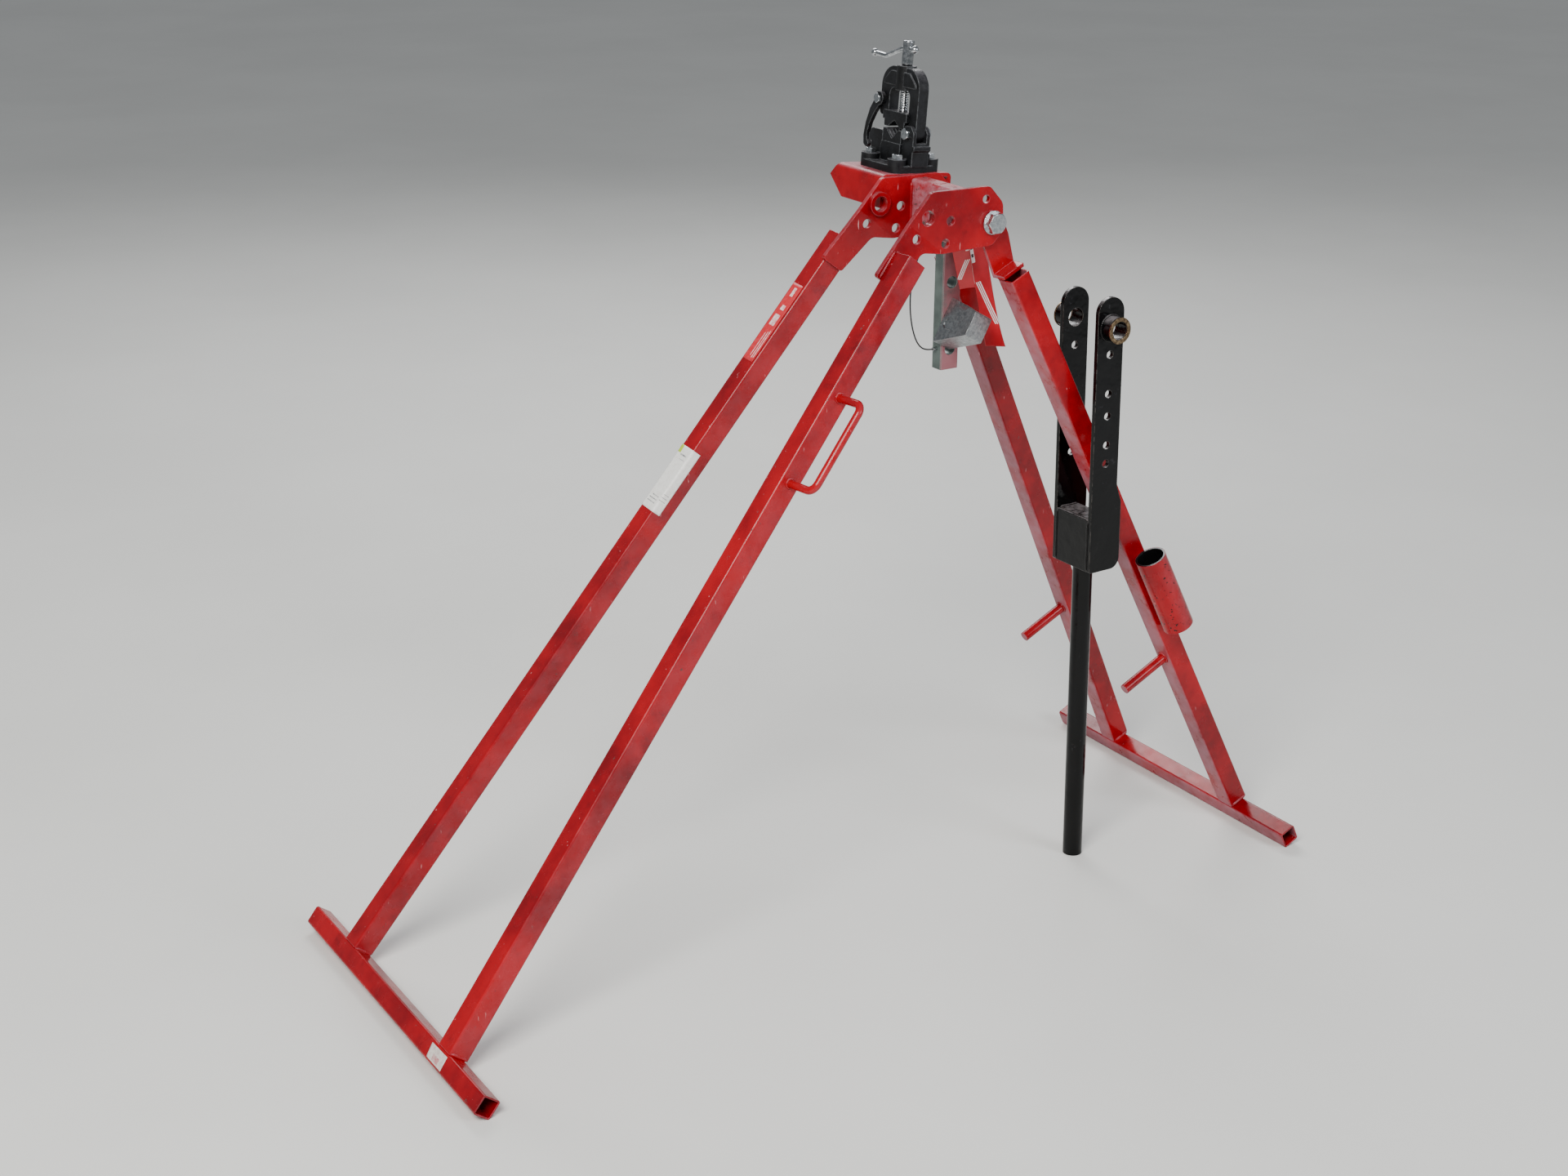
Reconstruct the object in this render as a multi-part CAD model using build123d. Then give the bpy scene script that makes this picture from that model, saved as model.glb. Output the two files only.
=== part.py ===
from build123d import *
from math import cos, pi, radians, sin, tan
import os

# Folding conduit bender stand with a hinged pipe vice and a loose forked bending lever. Millimetres, +Z up.
# Stations along X run from the front foot bar's floor line. MIDDLE moves the part to its centre at export.
FRONT_TILT = 38.56
REAR_TILT = 26.18
FOOT_BAR = 25.0
LEG_TUBE = 30.0
WALL = 2.0
CORNER = 3.0
FRONT_BAR_LENGTH = 508.0
REAR_BAR_LENGTH = 495.0
FRONT_BAR_X = -2.0
REAR_BAR_X = 1245.8
AXLE_X = 820.5
AXLE_Z = 902.0
AXLE_R = 8.0
BIG_HOLE = (722.0, 917.0, 9.7)
SMALL_HOLES = [(756, 910.5, 6.0), (705, 893, 6.0), (749, 883, 6.0), (809.5, 932, 5.3)]
CHEEK_IN, CHEEK_OUT = 50.0, 56.0
VICE_X, VICE_Y, VICE_Z, VICE_TILT = 785.2, 98.0, 947.7, 4.0
LEVER_FOOT = (975.0, -98.0, 0.32)
LEVER_LEAN = (-12.0, 11.0, 803.0)


def foot_height(tilt):
    """How high a tilted foot bar's centre lies when its rounded corner rests on the floor."""
    spread = abs(cos(radians(tilt))) + abs(sin(radians(tilt)))
    return (FOOT_BAR / 2 - CORNER) * spread + CORNER


MIDDLE = (FRONT_BAR_X - foot_height(FRONT_TILT) + REAR_BAR_X + foot_height(REAR_TILT)) / 2


class Leg:
    """One leg's own frame: along is up the tube, side is its X face, both splayed toward the middle."""

    def __init__(self, bar_x, tilt, lean, offset, foot_half, slope, top):
        t = radians(tilt)
        self.bar = Vector(bar_x, 0, foot_height(tilt))
        self.up = Vector(lean * sin(t), 0, cos(t))
        self.out = Vector(cos(t), 0, -lean * sin(t))
        self.axis_n = self.bar.dot(self.out) + offset
        self.foot_s = self.bar.dot(self.up) + FOOT_BAR / 2
        self.foot_half = foot_half
        self.slope = slope
        self.top = top

    def point(self, s, n, y):
        return self.up * s + self.out * n + Vector(0, y, 0)

    def half(self, s):
        """Distance from the middle to the tube's axis at station s."""
        return self.foot_half - self.slope * s

    def plane(self, side, s):
        """Frame on the tube's axis at station s, local z up the tube and local x out of its X face."""
        along = (self.up - Vector(0, side * self.slope, 0)).normalized()
        return Plane(self.point(s, self.axis_n, side * self.half(s)), x_dir=self.out, z_dir=along)


FRONT = Leg(FRONT_BAR_X, FRONT_TILT, 1, 2.5, 144.7, 0.0643, 1111.6)
REAR = Leg(REAR_BAR_X, REAR_TILT, -1, 4.1, 94.3, 0.0693, 377.0)


def outline(points):
    """A closed outline from (u, v, corner radius) points."""
    face = make_face(Polyline([(u, v) for u, v, _ in points], close=True))
    for u, v, radius in points:
        if radius:
            face = fillet(face.vertices().sort_by_distance((u, v, 0))[0], radius)
    return face


def across(sketch, y0, y1):
    """A side view outline (X, Z) made solid from y0 to y1."""
    return Plane((0, y1, 0), x_dir=(1, 0, 0), z_dir=(0, -1, 0)) * extrude(sketch, y1 - y0)


def along_x(sketch, x0, x1):
    """An end view outline (Y, Z) made solid from x0 to x1."""
    return Plane((x0, 0, 0), x_dir=(0, 1, 0), z_dir=(1, 0, 0)) * extrude(sketch, x1 - x0)


def rod_y(x, z, y0, y1, r):
    return Pos(x, (y0 + y1) / 2, z) * Rot(90, 0, 0) * Cylinder(r, y1 - y0)


def rod_x(y, z, x0, x1, r):
    return Pos((x0 + x1) / 2, y, z) * Rot(0, 90, 0) * Cylinder(r, x1 - x0)


def rod_z(x, y, z0, z1, r):
    return Pos(x, y, (z0 + z1) / 2) * Cylinder(r, z1 - z0)


def hexagon(across_flats, height):
    """A hexagon head or nut from z = 0 up, its top corners bevelled."""
    body = extrude(RegularPolygon(across_flats / 2, 6, major_radius=False), height)
    cone = Cone(across_flats * 0.5 + height * 1.5, across_flats * 0.5, height * 1.5 + 0.0001)
    return body & Pos(0, 0, height - (height * 1.5) / 2) * cone


def square_tube(size, length):
    outer = RectangleRounded(size, size, CORNER)
    inner = RectangleRounded(size - 2 * WALL, size - 2 * WALL, CORNER - WALL)
    return extrude(outer - inner, length)


def mirrored(part):
    return mirror(part, about=Plane.XZ)


def foot_bar(leg, length):
    """Square tube lying across the stand, its faces square to the legs."""
    frame = Plane(leg.bar - Vector(0, length / 2, 0), x_dir=leg.out, z_dir=(0, 1, 0))
    return frame * square_tube(FOOT_BAR, length)


def leg_tube(leg, side):
    """One leg, butted on the foot bar's top face and cut square at its top."""
    tube = leg.plane(side, leg.foot_s - 10) * square_tube(LEG_TUBE, leg.top - leg.foot_s + 10)
    below = Plane(leg.point(leg.foot_s, leg.axis_n, side * leg.half(leg.foot_s)), x_dir=leg.out, z_dir=leg.up)
    return tube - below * Pos(0, 0, -50) * Box(100, 100, 100)


def cheek_plate():
    """Far cheek: flat drilled plate whose tongue is bent to lie on the leg's inner face."""
    face = outline(
        [
            (643, 855.5, 4),
            (670, 835.5, 4),
            (713.5, 875, 12),
            (745, 870.5, 10),
            (822, 873, 12),
            (838, 890, 12),
            (836, 925, 15),
            (815, 947.5, 10),
            (727, 948.5, 9),
        ]
    )
    inner = FRONT.half(0) - LEG_TUBE / 2 / cos(radians(3.68))
    bend = (inner - CHEEK_OUT) / FRONT.slope
    low = 1030.0
    foot_y = inner - FRONT.slope * low
    outer = [(low, foot_y), (bend, CHEEK_OUT), (1400, CHEEK_OUT)]
    inner_side = [(1400, CHEEK_IN), (bend, CHEEK_IN), (low, foot_y - 6)]
    strip = make_face(Polyline(outer + inner_side, close=True))
    start = FRONT.point(0, -400, 0)
    sheet = Plane(start, x_dir=FRONT.up, z_dir=FRONT.up.cross(Vector(0, 1, 0))) * extrude(strip, -900)
    plate = across(face, 40, 80) & sheet
    for x, z, r in [BIG_HOLE] + SMALL_HOLES + [(AXLE_X, AXLE_Z, AXLE_R + 0.05)]:
        plate -= rod_y(x, z, 30, 90, r)
    return plate


def boss_rings():
    x, z, r = BIG_HOLE
    ring = rod_y(x, z, CHEEK_IN - 5, CHEEK_IN, 15) - rod_y(x, z, CHEEK_IN - 6, CHEEK_IN + 1, r)
    return Compound(children=[ring, mirrored(ring)])


def cheek_spacer():
    """Hollow box section welded between the cheeks."""
    outer = Pos(784.5, 909.5) * RectangleRounded(25, 69, 4)
    inner = Pos(784.5, 909.5) * RectangleRounded(19, 63, 2)
    return across(outer - inner, -CHEEK_IN, CHEEK_IN)


def vice_frame():
    return Pos(VICE_X, VICE_Y, VICE_Z) * Rot(0, VICE_TILT, 0)


def vice_bracket():
    """Folded channel carried on the far cheek, its outer end lipped, with four bolt holes."""
    near, far = CHEEK_OUT - VICE_Y, 57.0
    end_view = [(near, 0), (far, 0), (far + 17, -17), (far - 12, -42), (near, -42)]
    blank = along_x(make_face(Polyline(end_view, close=True)), -55, 53)
    outer = outline([(-55, -60, 0), (-55, 0, 7), (53, 0, 7), (53, -60, 0)])
    inner = outline([(-50, -60, 0), (-50, -5, 2), (48, -5, 2), (48, -60, 0)])
    channel = across(outer - inner, near, far + 20)
    lip_ends = [(far, 0), (far + 17, -17), (far + 13.46, -20.54), (far - 2.07, -5)]
    lip = make_face(Polyline(lip_ends, close=True))
    body = (blank & channel) + along_x(lip, -49.9, 47.9)
    body -= Pos(50, near + 12, -41) * Box(13, 24.2, 30)
    for x, y in LUG_POINTS:
        body -= rod_z(x, y, -8, 3, 4.3)
    return vice_frame() * body


def carry_handle():
    """Round bar handle welded to the near leg's outer face."""
    low, high = 799.7, 918.6
    path = FilletPolyline([(0, -15, 0), (0, -62, 0), (0, -62, high - low), (0, -15, high - low)], radius=12)
    bar = sweep(Plane((0, -15, 0), x_dir=(1, 0, 0), z_dir=(0, -1, 0)) * Circle(5), path)
    return FRONT.plane(-1, low) * bar


def pivot_bolt():
    head = Pos(0, -58.6, 0) * Rot(90, 0, 0) * hexagon(24, 10)
    shank = rod_y(0, 0, -58.6, 79, AXLE_R)
    return Pos(AXLE_X, 0, AXLE_Z) * (head + shank)


def ring_y(y0, y1, r_out, r_in):
    return rod_y(AXLE_X, AXLE_Z, y0, y1, r_out) - rod_y(AXLE_X, AXLE_Z, y0 - 1, y1 + 1, r_in)


def pivot_washers():
    places = [(-58.6, -56.0), (56.0, 58.6), (43.3, 44.4)]
    return Compound(children=[ring_y(a, b, 15, AXLE_R + 0.05) for a, b in places])


def pivot_nut():
    nut = Pos(AXLE_X, 58.6, AXLE_Z) * Rot(-90, 0, 0) * hexagon(24, 13)
    return nut - rod_y(AXLE_X, AXLE_Z, 50, 90, AXLE_R + 0.02)


def pivot_sleeve():
    return ring_y(-44.3, 22.6, 11, AXLE_R + 0.05)


def rear_lug():
    """Far pivot lug: plate round the axle whose foot is bent out over the tube's mouth."""
    axle = Vector(AXLE_X, 0, AXLE_Z)
    s0, n0 = axle.dot(REAR.up), axle.dot(REAR.out)
    seat = [REAR.top + (y - REAR.half(REAR.top)) * REAR.slope for y in (44.7, 49.7, 70.0)]
    inner = [(seat[0], 44.7), (s0 + 30, 44.7), (s0 + 30, 49.7)]
    outer = [(seat[1] + 5, 49.7), (seat[2] + 5, 70), (seat[2], 70)]
    strip = make_face(Polyline(inner + outer, close=True))
    normal = REAR.up.cross(Vector(0, 1, 0))
    sheet = Plane(REAR.point(0, n0, 0) - normal * 60, x_dir=REAR.up, z_dir=normal) * extrude(strip, 120)
    front_edge = [(seat[0] - 2, n0 - 20.5, 0), (s0 - 30, n0 - 19.5, 8), (s0, n0 - 20, 0)]
    rear_edge = [(s0, n0 + 20, 0), (s0 - 30, n0 + 19.5, 8), (seat[0] - 2, n0 + 11.5, 0)]
    view = outline(front_edge + rear_edge)
    view += Pos(s0, n0) * Circle(20)
    blank = Plane((0, 0, 0), x_dir=REAR.up, z_dir=REAR.up.cross(REAR.out)) * extrude(view, 100, both=True)
    return (sheet & blank) - rod_y(AXLE_X, AXLE_Z, 30, 90, AXLE_R + 0.05)


def storage_pegs():
    """Round pegs standing off the front faces of the rear legs."""
    pegs = []
    for side in (-1, 1):
        pegs.append(REAR.plane(side, -244.6) * rod_x(0, 0, -90, -15, 7))
    return Compound(children=pegs)


def lever_cup():
    """Open tube welded beside the near rear leg."""
    y = -(LEG_TUBE / 2 + 21.2)
    tube = rod_z(6, y, 0, 118, 21.2) - rod_z(6, y, -1, 119, 18)
    return REAR.plane(-1, -188.1) * tube


LUG_POINTS = [(-25, -29), (25, -29), (-25, 29), (25, 29)]
HINGE_Y, HINGE_Z = -31.25, 48.0
LATCH_Y, LATCH_Z = 36.0, 84.0


def vice_base():
    """Casting: plate, four bolt bosses, pedestal, slotted hinge ears and a latch ledge."""
    body = extrude(RectangleRounded(74, 82, 12), 9)
    for x, y in LUG_POINTS:
        body += rod_z(x, y, 0, 17, 12)
    body += along_x(outline([(-20.5, 8, 0), (-20.5, 33.5, 0), (20.5, 33.5, 0), (24, 8, 0)]), -16, 16)
    ear = [(-44, 8, 0), (-44, 50, 5), (-37, 58, 5), (-26, 58, 5), (-22, 53, 3), (-22, 8, 0)]
    stop = [(-47, 29, 0), (-47, 34, 1), (-43, 34, 0), (-43, 25, 0)]
    ledge = [(20, 8, 0), (20, 46, 2), (44, 46, 4), (50, 38, 2), (50, 31, 1), (44, 29, 0), (44, 8, 0)]
    body += along_x(outline(ear), -13, 13) + along_x(outline(stop), -13, 13)
    body += along_x(outline(ledge), -15, 15)
    slot = Pos(0, -33, 37 + 20) * Box(15.9, 30, 40)
    body -= slot
    body -= rod_x(HINGE_Y, HINGE_Z, -30, 30, 4.55)
    for x, y in LUG_POINTS:
        body -= rod_z(x, y, -1, 18, 4.3)
        body -= rod_z(x, y, 17, 60, 8.6)
    return vice_frame() * body


def vice_base_bolts():
    bolts = []
    for x, y in LUG_POINTS:
        bolt = Pos(x, y, 17) * hexagon(13, 6) + rod_z(x, y, -14, 17, 4)
        bolt += Pos(x, y, -5) * Rot(180, 0, 0) * hexagon(13, 6.5)
        bolts.append(vice_frame() * bolt)
    return Compound(children=bolts)


def vice_lower_jaw():
    """Hard jaw with a toothed V groove along the pipe's line."""
    groove = [(-13, 50, 0), (0, 38, 1), (13, 50, 0)]
    shape = [(-20, 33.5, 0), (-20, 50, 1)] + groove + [(19.7, 50, 1), (19.7, 33.5, 0)]
    jaw = along_x(outline(shape), -15, 15)
    for i in range(6):
        jaw -= Pos(-12.5 + 5 * i, 0, 44) * Box(1.2, 40, 8) & Pos(0, 0, 45) * Box(30, 39, 20) & along_x(
            outline([(-16, 51, 0), (0, 36.6, 0), (16, 51, 0)]), -15, 15
        )
    return vice_frame() * jaw


def vice_hinge_pin():
    head = Pos(-19, HINGE_Y, HINGE_Z) * Rot(0, 90, 0) * Rot(180, 0, 0) * Pos(0, 0, -6) * hexagon(13, 6)
    shank = rod_x(HINGE_Y, HINGE_Z, -13, 20, 4.5)
    nut = Pos(13, HINGE_Y, HINGE_Z) * Rot(0, 90, 0) * hexagon(13, 6)
    return vice_frame() * (head + shank + nut)


def vice_yoke():
    """Arched casting: window for the jaw, centre boss for the screw, hinge eye and latch ear."""
    outside = [(-40.5, 48, 0), (-40.5, 127, 26), (40.5, 127, 26), (40.5, 64, 5)]
    window = [(22, 64, 3), (22, 100, 9), (-22, 100, 9), (-22, 48, 0)]
    body = along_x(outline(outside + window), -7.5, 7.5) + rod_x(HINGE_Y, HINGE_Z, -7.5, 7.5, 9.25)
    body += rod_z(0, 0, 98.5, 129, 12.5)
    rib = outline([(-34, 108, 4), (-20, 121, 3), (20, 121, 3), (34, 108, 4), (34, 103.5, 2), (-34, 103.5, 2)])
    body += along_x(rib, -9.5, 9.5)
    body -= rod_x(HINGE_Y, HINGE_Z, -30, 30, 4.55)
    body -= rod_z(0, 0, 90, 140, 5.85)
    body -= rod_x(LATCH_Y, LATCH_Z, -20, 20, 3.6)
    return vice_frame() * body


def vice_latch_pin():
    head = Pos(-18.3, LATCH_Y, LATCH_Z) * Rot(0, 90, 0) * Rot(180, 0, 0) * Pos(0, 0, -4) * hexagon(11, 4)
    nut = Pos(7.5, LATCH_Y, LATCH_Z) * Rot(0, 90, 0) * hexagon(11, 5)
    return vice_frame() * (head + rod_x(LATCH_Y, LATCH_Z, -14.3, 13.5, 3.5) + nut)


def vice_latch():
    """Curved latch arm with a hooked toe, on the front of the far leg."""
    back = [(33, 78, 0), (44, 84, 0), (54, 69, 5), (61.5, 50, 6), (64.5, 34, 6), (63, 22, 4), (56, 19, 2)]
    hook = [(52.5, 24, 1), (56.5, 29, 1), (57.5, 36, 3), (53.5, 50, 6), (45, 64, 4)]
    body = along_x(outline(back + hook), -14, -8) + rod_x(LATCH_Y, LATCH_Z, -14, -8, 8.5)
    body -= rod_x(LATCH_Y, LATCH_Z, -30, 30, 3.55)
    return vice_frame() * body


def vice_upper_jaw():
    """Jaw block sliding in the yoke's window, flanges clasping the legs, V groove below."""
    groove = [(13, 52, 0), (0, 61, 1), (-13, 52, 0)]
    shape = [(-21.5, 52, 2), (-21.5, 72, 2), (21.5, 72, 2), (21.5, 52, 2)] + groove
    jaw = along_x(outline(shape), -13, 13)
    low_edge = [(10, 60.5, 0), (0, 64, 0), (-10, 60.5, 0)]
    flange = outline([(-25.5, 60.5, 1), (-25.5, 72, 2), (25.5, 72, 2), (25.5, 60.5, 1)] + low_edge)
    jaw += along_x(flange, -13, -8.2) + along_x(flange, 8.2, 13)
    jaw -= rod_z(0, 0, 63.5, 80, 4.55)
    return vice_frame() * jaw


def vice_screw():
    body = rod_z(0, 0, 64, 72.4, 4.5) + rod_z(0, 0, 72.4, 129.6, 5.5) + rod_z(0, 0, 129.6, 160, 7.3)
    body = chamfer(body.edges().group_by(Axis.Z)[-1], 1)
    path = tommy_path()
    return vice_frame() * (body - sweep(Plane(path @ 0, z_dir=path % 0) * Circle(3.06), path))


def tommy_path():
    return FilletPolyline([(0, -12.4, 150), (0, 9, 150), (0, 46, 136), (0, 70, 137)], radius=18)


def tommy_bar():
    """Bent bar through the screw's head, a ball on each end."""
    path = tommy_path()
    bar = sweep(Plane(path @ 0, z_dir=path % 0) * Circle(3), path)
    bar += Pos(0, -14, 150) * Sphere(5)
    bar += Pos(0, 72, 137.1) * Sphere(5)
    return vice_frame() * bar


def backstop_bar():
    """Rectangular bar hung on the axle, with two more cross holes."""
    bar = Pos(AXLE_X, 33, 806) * Box(28, 20, 222)
    bar = chamfer(bar.edges().filter_by(Axis.Z), 1.5)
    for z, r in [(AXLE_Z, AXLE_R + 0.05), (810, 8.0), (722, 8.0)]:
        bar -= rod_y(AXLE_X, z, 20, 46, r)
    return bar - rod_y(AXLE_X, 757, 20, 46, 6.0)


def guide_pin():
    return rod_y(AXLE_X, 757, -3, 43, 5.98)


def block_frame():
    """Frame of the guide block: local x toward -Y, local y up its tilted face."""
    a = radians(29.3)
    low = Vector(792, 22.6, 736) + Vector(cos(a), 0, -sin(a)) * 29.4
    return Plane(low, x_dir=(0, -1, 0), z_dir=(-cos(a), 0, sin(a)))


def guide_block():
    """Tapered shoe with a half round pipe groove across its top and a shallow oval dimple."""
    shape = [(0, 0, 1), (0, 62, 1), (55, 55, 1.5), (55, 22, 1.5)]
    block = extrude(outline(shape), 29.4) - Pos(27, 62, 10) * Cylinder(12, 80)
    block = block_frame() * block
    dimple = block_frame() * Pos(15, 28, 28.2) * extrude(SlotOverall(20, 14), 2.2)
    return block - dimple - rod_y(AXLE_X, 757, -3.5, 30, 6.06)


WIRE_TOP = [(800.5, 862), (789, 862), (773, 848), (765, 824), (762, 798)]
WIRE = WIRE_TOP + [(763, 772), (769, 746), (778, 729), (790, 722), (800.5, 722)]
WIRE_R = 1.0


def wire_radii():
    """Bend radius at each inner route point, from the shorter run beside it and the half turn."""
    points = [Vector(x, 33, z) for x, z in WIRE]
    radii = []
    for before, at, after in zip(points, points[1:], points[2:]):
        turn = (at - before).get_angle(after - at)
        run = min((at - before).length, (after - at).length)
        radii.append(0.45 * run / tan(radians(turn / 2)))
    return radii


def lanyard_wire():
    radii = wire_radii()
    path = FilletPolyline([(x, 33, z) for x, z in WIRE], radius=radii)
    wire = sweep(Plane(path @ 0, z_dir=path % 0) * Circle(WIRE_R), path)
    drawn = pi * WIRE_R**2 * path.length
    print("lanyard radii", [round(r, 1) for r in radii], "length", round(path.length, 1))
    print("lanyard volume", round(wire.volume, 1), "section x length", round(drawn, 1))
    return wire


def lanyard_ferrules():
    ends = [rod_x(33, z, 800.5, 806.5, 2.6) for z in (862, 722)]
    return Compound(children=ends)


def tag_plane(turn):
    """Frame in the tag's fold line below the axle, local y up the tag, turned about the fold."""
    lean = radians(13.3)
    up = Vector(-sin(lean), 0, cos(lean))
    fold = Plane((818, 0, 902), x_dir=(cos(lean), 0, sin(lean)), z_dir=(0, -1, 0))
    return fold * Rot(0, turn, 0)


def swing_tag():
    """Folded two leaf tag hanging from its tie."""
    right = outline([(0, -34, 0), (0, -182, 2), (34, -196, 1), (32, -34, 4)])
    left = outline([(0, -34, 0), (0, -100, 2), (-21, -94, 2), (-22, -34, 3)])
    tag = tag_plane(12) * extrude(right, 0.6)
    tag += tag_plane(-38) * extrude(left, 0.6)
    return tag


TIE = [(807.5, 889), (806.5, 915), (835, 916), (836, 889), (832.5, 864), (827, 864)]


def tag_tie():
    """Wire loop round the sleeve, its lower end through the tag."""
    path = FilletPolyline([(x, 1, z) for x, z in TIE], radius=2.2, close=True)
    return sweep(Plane(path @ 0, z_dir=path % 0) * Circle(0.8), path)


BUSH_Z, BUSH_BORE, BUSH_END = 763.0, 12.0, 54.0


def lever_frame():
    return Plane(LEVER_FOOT, x_dir=(1, 0, 0.0149), z_dir=LEVER_LEAN)


def lever_plate(side):
    """Fork plate: round top, boss hole, row of small holes, wider foot beside the box."""
    shape = [(-21, 433, 3), (29, 433, 14), (29, 525, 20), (21, 548, 20), (21, 803, 20.9), (-21, 803, 20.9)]
    if side < 0:
        holes = [728, 676, 646, 607, 582]
    else:
        holes = [726, 581]
    plate = across(outline(shape), 32, 38)
    plate -= rod_y(0, BUSH_Z, 30, 40, BUSH_BORE)
    for z in holes:
        plate -= rod_y(0, z, 30, 40, 5.3)
    return lever_frame() * (plate if side > 0 else mirrored(plate))


def lever_web():
    return lever_frame() * Pos(-18.5, 0, 470) * Box(5, 64, 72)


def lever_top_cap():
    """Top plate of the box, cut round the tube's end."""
    return lever_frame() * Pos(-1, 0, 504) * Box(30, 64, 5)


def lever_bottom_cap():
    """Bottom plate of the box, with the tube through it."""
    cap = Pos(4, 0, 436.5) * Box(40, 64, 5) - rod_z(0, 0, 400, 450, 13.5)
    return lever_frame() * cap


def lever_tube():
    """Steel tube handle, open at the floor, plugged in the box."""
    tube = rod_z(0, 0, 0, 500, 13.45) - rod_z(0, 0, -1, 490, 11.0)
    return lever_frame() * tube


def lever_bosses():
    boss = rod_y(0, BUSH_Z, 38, BUSH_END, 16.5) - rod_y(0, BUSH_Z, 37, 70, BUSH_BORE)
    return Compound(children=[lever_frame() * boss, lever_frame() * mirrored(boss)])


def lever_boss_rings():
    ring = rod_y(0, BUSH_Z, BUSH_END, BUSH_END + 2, 17.2) - rod_y(0, BUSH_Z, 50, 70, BUSH_BORE)
    return Compound(children=[lever_frame() * ring, lever_frame() * mirrored(ring)])


NODES = {
    "front_foot_bar": lambda: foot_bar(FRONT, FRONT_BAR_LENGTH),
    "front_leg_near": lambda: leg_tube(FRONT, -1),
    "front_leg_far": lambda: leg_tube(FRONT, 1),
    "cheek_plate_far": cheek_plate,
    "cheek_plate_near": lambda: mirrored(cheek_plate()),
    "cheek_boss_rings": boss_rings,
    "cheek_spacer": cheek_spacer,
    "vice_bracket": vice_bracket,
    "carry_handle": carry_handle,
    "pivot_bolt": pivot_bolt,
    "pivot_washers": pivot_washers,
    "pivot_nut": pivot_nut,
    "pivot_sleeve": pivot_sleeve,
    "rear_foot_bar": lambda: foot_bar(REAR, REAR_BAR_LENGTH),
    "rear_leg_near": lambda: leg_tube(REAR, -1),
    "rear_leg_far": lambda: leg_tube(REAR, 1),
    "rear_lug_far": rear_lug,
    "rear_lug_near": lambda: mirrored(rear_lug()),
    "storage_pegs": storage_pegs,
    "lever_cup": lever_cup,
    "vice_base": vice_base,
    "vice_base_bolts": vice_base_bolts,
    "vice_lower_jaw": vice_lower_jaw,
    "vice_hinge_pin": vice_hinge_pin,
    "vice_yoke": vice_yoke,
    "vice_latch_pin": vice_latch_pin,
    "vice_latch": vice_latch,
    "vice_upper_jaw": vice_upper_jaw,
    "vice_screw": vice_screw,
    "tommy_bar": tommy_bar,
    "backstop_bar": backstop_bar,
    "guide_pin": guide_pin,
    "guide_block": guide_block,
    "lanyard_wire": lanyard_wire,
    "lanyard_ferrules": lanyard_ferrules,
    "swing_tag": swing_tag,
    "tag_tie": tag_tie,
    "lever_plate_near": lambda: lever_plate(-1),
    "lever_plate_far": lambda: lever_plate(1),
    "lever_web": lever_web,
    "lever_top_cap": lever_top_cap,
    "lever_bottom_cap": lever_bottom_cap,
    "lever_tube": lever_tube,
    "lever_bosses": lever_bosses,
    "lever_boss_rings": lever_boss_rings,
}


def write_parts():
    os.makedirs("parts", exist_ok=True)
    print("middle", round(MIDDLE, 3), "axle x", round(AXLE_X - MIDDLE, 3))
    for name, make in NODES.items():
        part = Pos(-MIDDLE, 0, 0) * make()
        solids = part.solids()
        shape = solids[0] if len(solids) == 1 else Compound(children=list(solids))
        box = shape.bounding_box()
        print(name, len(solids), box.min, box.max)
        export_step(shape, f"parts/{name}.step")


write_parts()
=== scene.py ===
import math

import bmesh
import bpy
import numpy as np
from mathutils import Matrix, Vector


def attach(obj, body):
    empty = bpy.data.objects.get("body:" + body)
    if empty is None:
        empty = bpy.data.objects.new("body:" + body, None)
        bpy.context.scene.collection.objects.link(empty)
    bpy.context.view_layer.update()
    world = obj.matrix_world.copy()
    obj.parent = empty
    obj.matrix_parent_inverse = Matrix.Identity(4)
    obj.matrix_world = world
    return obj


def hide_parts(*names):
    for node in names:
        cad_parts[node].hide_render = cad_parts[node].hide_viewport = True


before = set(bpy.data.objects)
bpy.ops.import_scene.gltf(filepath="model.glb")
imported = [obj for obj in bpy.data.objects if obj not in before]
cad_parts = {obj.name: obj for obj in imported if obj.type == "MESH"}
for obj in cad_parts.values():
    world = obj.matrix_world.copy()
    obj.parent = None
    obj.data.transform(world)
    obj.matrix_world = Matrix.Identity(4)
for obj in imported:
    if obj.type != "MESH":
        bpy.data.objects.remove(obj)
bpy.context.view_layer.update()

# Red enamel: gloss alkyd paint sprayed over mild steel tube and plate. It gives deep red with orange peel,
# chips to dark primer, paler corners that are partly rubbed paint and partly painted highlight, and a
# grey-pink film of workshop dust where dust can lie.
def linear(hex_colour, alpha=1.0):
    """sRGB hex to linear: each channel c/12.92 below 0.04045, else ((c + 0.055)/1.055)^2.4."""
    c = np.array([int(hex_colour[i : i + 2], 16) for i in (0, 2, 4)], float) / 255.0
    c = np.where(c <= 0.04045, c / 12.92, ((c + 0.055) / 1.055) ** 2.4)
    return (float(c[0]), float(c[1]), float(c[2]), alpha)


def node(tree, kind, inputs=None, **settings):
    """Adds one shader node; an input given as a socket is linked, any other is set."""
    made = tree.nodes.new(kind)
    for key, value in settings.items():
        setattr(made, key, value)
    for key, value in (inputs or {}).items():
        if isinstance(value, bpy.types.NodeSocket):
            tree.links.new(value, made.inputs[key])
        else:
            made.inputs[key].default_value = value
    return made


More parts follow.
